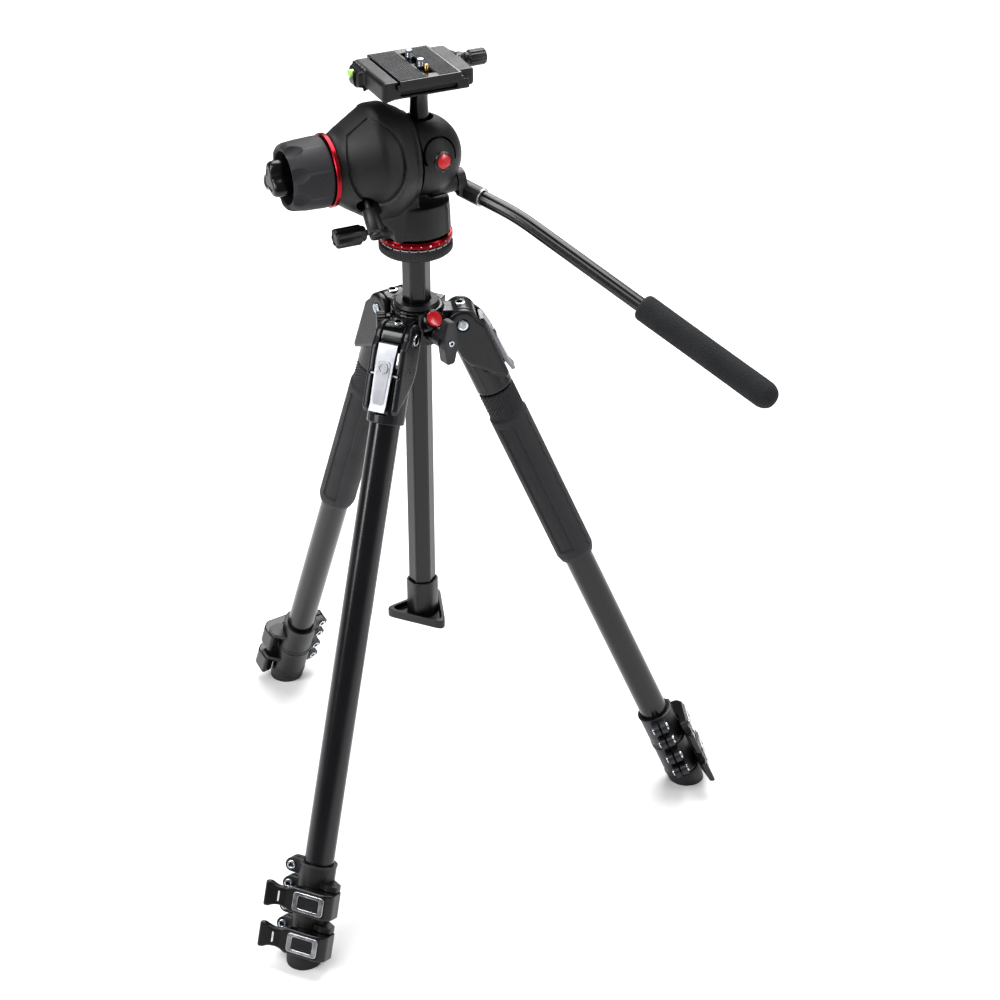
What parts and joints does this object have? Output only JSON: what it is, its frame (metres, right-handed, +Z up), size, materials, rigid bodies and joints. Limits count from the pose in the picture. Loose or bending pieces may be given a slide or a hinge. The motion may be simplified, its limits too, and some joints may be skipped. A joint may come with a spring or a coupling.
{
  "type": "camera tripod with pan and tilt head",
  "caption": "Telescopic aluminium camera tripod with a sliding centre column, flip-lever leg clamps and a pan and tilt head with a quick-release plate and a foam-grip handle",
  "frame": {"origin": "on the floor, under the middle of the whole object's box", "axes": "+Z up; the front leg points along -Y, the right leg along +X and +Y; the head's lens direction is 49 degrees from +Y towards -X"},
  "size_m": [0.5536, 0.4242, 0.7131],
  "materials": {
    "cast": "satin dark grey powder coat on a light alloy casting",
    "grip_rubber": "matte moulded rubber, finely textured",
    "soft_rubber": "matte soft rubber",
    "moulded": "satin moulded technopolymer",
    "anodised": "black anodised, smooth satin sheen",
    "brushed": "brushed, bare silver",
    "steel": "bright turned steel",
    "red_anodised": "red anodised, turned",
    "foam": "closed-cell foam, matte"
  },
  "bodies": {
    "spider": {"spider_casting": "cast", "column_bush": "moulded", "accessory_plug": "moulded"},
    "leg_front": {"leg_yoke_front": "cast", "hinge_pin_front": "steel", "upper_tube_front": "anodised", "upper_clamp_front": "moulded"},
    "angle_lever_front": {"angle_lever_front": "brushed"},
    "upper_lever_front": {"upper_clamp_lever_front": "moulded"},
    "middle_front": {"middle_tube_front": "anodised", "lower_clamp_front": "moulded"},
    "lower_lever_front": {"lower_clamp_lever_front": "moulded"},
    "lower_front": {"lower_tube_front": "anodised", "rubber_foot_front": "soft_rubber"},
    "leg_right": {"leg_yoke_right": "cast", "hinge_pin_right": "steel", "upper_tube_right": "anodised", "upper_clamp_right": "moulded", "leg_grip_right": "grip_rubber"},
    "angle_lever_right": {"angle_lever_right": "brushed"},
    "upper_lever_right": {"upper_clamp_lever_right": "moulded"},
    "middle_right": {"middle_tube_right": "anodised", "lower_clamp_right": "moulded"},
    "lower_lever_right": {"lower_clamp_lever_right": "moulded"},
    "lower_right": {"lower_tube_right": "anodised", "rubber_foot_right": "soft_rubber"},
    "leg_left": {"leg_yoke_left": "cast", "hinge_pin_left": "steel", "upper_tube_left": "anodised", "upper_clamp_left": "moulded", "leg_grip_left": "grip_rubber"},
    "angle_lever_left": {"angle_lever_left": "brushed"},
    "upper_lever_left": {"upper_clamp_lever_left": "moulded"},
    "middle_left": {"middle_tube_left": "anodised", "lower_clamp_left": "moulded"},
    "lower_lever_left": {"lower_clamp_lever_left": "moulded"},
    "lower_left": {"lower_tube_left": "anodised", "rubber_foot_left": "soft_rubber"},
    "column": {"column_tube": "anodised", "column_foot": "moulded", "plate_rim": "soft_rubber", "plate_face": "brushed", "head_stud": "steel"},
    "column_lock_knob": {"column_lock_knob": "moulded"},
    "head_base": {"head_base_ring": "red_anodised"},
    "head_pan": {"head_housing": "cast", "red_ring": "red_anodised"},
    "friction_ring": {"friction_ring": "grip_rubber"},
    "star_knob": {"star_knob": "moulded"},
    "pan_lock_knob": {"pan_lock_knob": "moulded"},
    "drag_knob": {"drag_knob": "moulded"},
    "head_tilt": {"tilt_dome": "cast", "ball_stem": "anodised", "quick_release_base": "cast"},
    "handle": {"handle_socket": "moulded", "handle_bar": "anodised", "handle_grip": "foam"},
    "release_knob": {"quick_release_knob": "moulded"},
    "camera_plate": {"quick_release_plate": "cast"},
    "camera_screw": {"camera_screw": "steel"}
  },
  "joints": [
    {"name": "leg_spread_front", "type": "hinge", "parent": "spider", "child": "leg_front", "pos_m": [-0.03944, 0.01537, 0.488], "axis": [-1, 0, 0], "range_deg": [-23, 65]},
    {"name": "angle_lever_press_front", "type": "hinge", "parent": "leg_front", "child": "angle_lever_front", "pos_m": [-0.03944, -0.0109, 0.46656], "axis": [1, 0, 0], "range_deg": [0, 7], "stiffness_Nm_per_rad": 0.4, "springref_deg": -6.88},
    {"name": "upper_lever_flip_front", "type": "hinge", "parent": "leg_front", "child": "upper_lever_front", "pos_m": [-0.01844, -0.17904, 0.05559], "axis": [0, 0.3907, 0.9205], "range_deg": [0, 95]},
    {"name": "middle_slide_front", "type": "slide", "parent": "leg_front", "child": "middle_front", "axis": [0, -0.3907, -0.9205], "range_m": [0, 0.355]},
    {"name": "lower_lever_flip_front", "type": "hinge", "parent": "middle_front", "child": "lower_lever_front", "pos_m": [-0.01844, -0.19311, 0.02245], "axis": [0, 0.3907, 0.9205], "range_deg": [0, 95]},
    {"name": "lower_slide_front", "type": "slide", "parent": "middle_front", "child": "lower_front", "axis": [0, -0.3907, -0.9205], "range_m": [0, 0.355]},
    {"name": "leg_spread_right", "type": "hinge", "parent": "spider", "child": "leg_right", "pos_m": [-0.00826, 0.06937, 0.488], "axis": [0.5, -0.866, 0], "range_deg": [-23, 65]},
    {"name": "angle_lever_press_right", "type": "hinge", "parent": "leg_right", "child": "angle_lever_right", "pos_m": [0.01448, 0.0825, 0.46656], "axis": [-0.5, 0.866, 0], "range_deg": [0, 7], "stiffness_Nm_per_rad": 0.4, "springref_deg": -6.88},
    {"name": "upper_lever_flip_right", "type": "hinge", "parent": "leg_right", "child": "upper_lever_right", "pos_m": [0.1496, 0.18476, 0.05559], "axis": [-0.3384, -0.1954, 0.9205], "range_deg": [0, 95]},
    {"name": "middle_slide_right", "type": "slide", "parent": "leg_right", "child": "middle_right", "axis": [0.3384, 0.1954, -0.9205], "range_m": [0, 0.355]},
    {"name": "lower_lever_flip_right", "type": "hinge", "parent": "middle_right", "child": "lower_lever_right", "pos_m": [0.16178, 0.19179, 0.02245], "axis": [-0.3384, -0.1954, 0.9205], "range_deg": [0, 95]},
    {"name": "lower_slide_right", "type": "slide", "parent": "middle_right", "child": "lower_right", "axis": [0.3384, 0.1954, -0.9205], "range_m": [0, 0.355]},
    {"name": "leg_spread_left", "type": "hinge", "parent": "spider", "child": "leg_left", "pos_m": [-0.07062, 0.06937, 0.488], "axis": [0.5, 0.866, 0], "range_deg": [-23, 65]},
    {"name": "angle_lever_press_left", "type": "hinge", "parent": "leg_left", "child": "angle_lever_left", "pos_m": [-0.09336, 0.0825, 0.46656], "axis": [-0.5, -0.866, 0], "range_deg": [0, 7], "stiffness_Nm_per_rad": 0.4, "springref_deg": -6.88},
    {"name": "upper_lever_flip_left", "type": "hinge", "parent": "leg_left", "child": "upper_lever_left", "pos_m": [-0.24948, 0.14839, 0.05559], "axis": [0.3384, -0.1954, 0.9205], "range_deg": [0, 95]},
    {"name": "middle_slide_left", "type": "slide", "parent": "leg_left", "child": "middle_left", "axis": [-0.3384, 0.1954, -0.9205], "range_m": [0, 0.355]},
    {"name": "lower_lever_flip_left", "type": "hinge", "parent": "middle_left", "child": "lower_lever_left", "pos_m": [-0.26166, 0.15542, 0.02245], "axis": [0.3384, -0.1954, 0.9205], "range_deg": [0, 95]},
    {"name": "lower_slide_left", "type": "slide", "parent": "middle_left", "child": "lower_left", "axis": [-0.3384, 0.1954, -0.9205], "range_m": [0, 0.355]},
    {"name": "column_slide", "type": "slide", "parent": "spider", "child": "column", "axis": [0, 0, 1], "range_m": [-0.04, 0.225]},
    {"name": "column_lock_turn", "type": "hinge", "parent": "spider", "child": "column_lock_knob", "pos_m": [-0.0048, 0.03137, 0.485], "axis": [0.866, -0.5, 0], "range_deg": [0, 270]},
    {"name": "head_lift", "type": "slide", "parent": "column", "child": "head_base", "axis": [0, 0, 1], "range_m": [0, 0.06]},
    {"name": "head_pan", "type": "hinge", "parent": "head_base", "child": "head_pan", "pos_m": [-0.03944, 0.05137, 0.57205], "axis": [0, 0, 1], "continuous": true},
    {"name": "friction_turn", "type": "hinge", "parent": "head_pan", "child": "friction_ring", "pos_m": [-0.10045, -0.01882, 0.63205], "axis": [-0.6561, -0.7547, 0], "range_deg": [0, 120]},
    {"name": "star_turn", "type": "hinge", "parent": "head_pan", "child": "star_knob", "pos_m": [-0.11161, -0.03165, 0.63205], "axis": [-0.6561, -0.7547, 0], "range_deg": [0, 180]},
    {"name": "pan_lock_turn", "type": "hinge", "parent": "head_pan", "child": "pan_lock_knob", "pos_m": [-0.07276, 0.00084, 0.57705], "axis": [-0.6561, -0.7547, 0], "range_deg": [0, 270]},
    {"name": "drag_turn", "type": "hinge", "parent": "head_pan", "child": "drag_knob", "pos_m": [-0.04556, -0.00956, 0.59669], "axis": [0.5337, -0.4639, -0.7071], "range_deg": [0, 270]},
    {"name": "head_tilt", "type": "hinge", "parent": "head_pan", "child": "head_tilt", "pos_m": [-0.03616, 0.05514, 0.63205], "axis": [0.6561, 0.7547, 0], "range_deg": [-90, 30]},
    {"name": "handle_angle", "type": "hinge", "parent": "head_tilt", "child": "handle", "pos_m": [-0.0111, 0.07178, 0.60805], "axis": [0.6561, 0.7547, 0], "range_deg": [-30, 40]},
    {"name": "release_turn", "type": "hinge", "parent": "head_tilt", "child": "release_knob", "pos_m": [-0.00939, 0.09813, 0.70055], "axis": [0.6561, 0.7547, 0], "range_deg": [0, 270]},
    {"name": "plate_slide", "type": "slide", "parent": "head_tilt", "child": "camera_plate", "axis": [-0.7547, 0.6561, 0], "range_m": [-0.03, 0.03]},
    {"name": "camera_screw_turn", "type": "hinge", "parent": "camera_plate", "child": "camera_screw", "pos_m": [-0.03097, 0.04891, 0.70705], "axis": [0, 0, 1], "continuous": true}
  ]
}
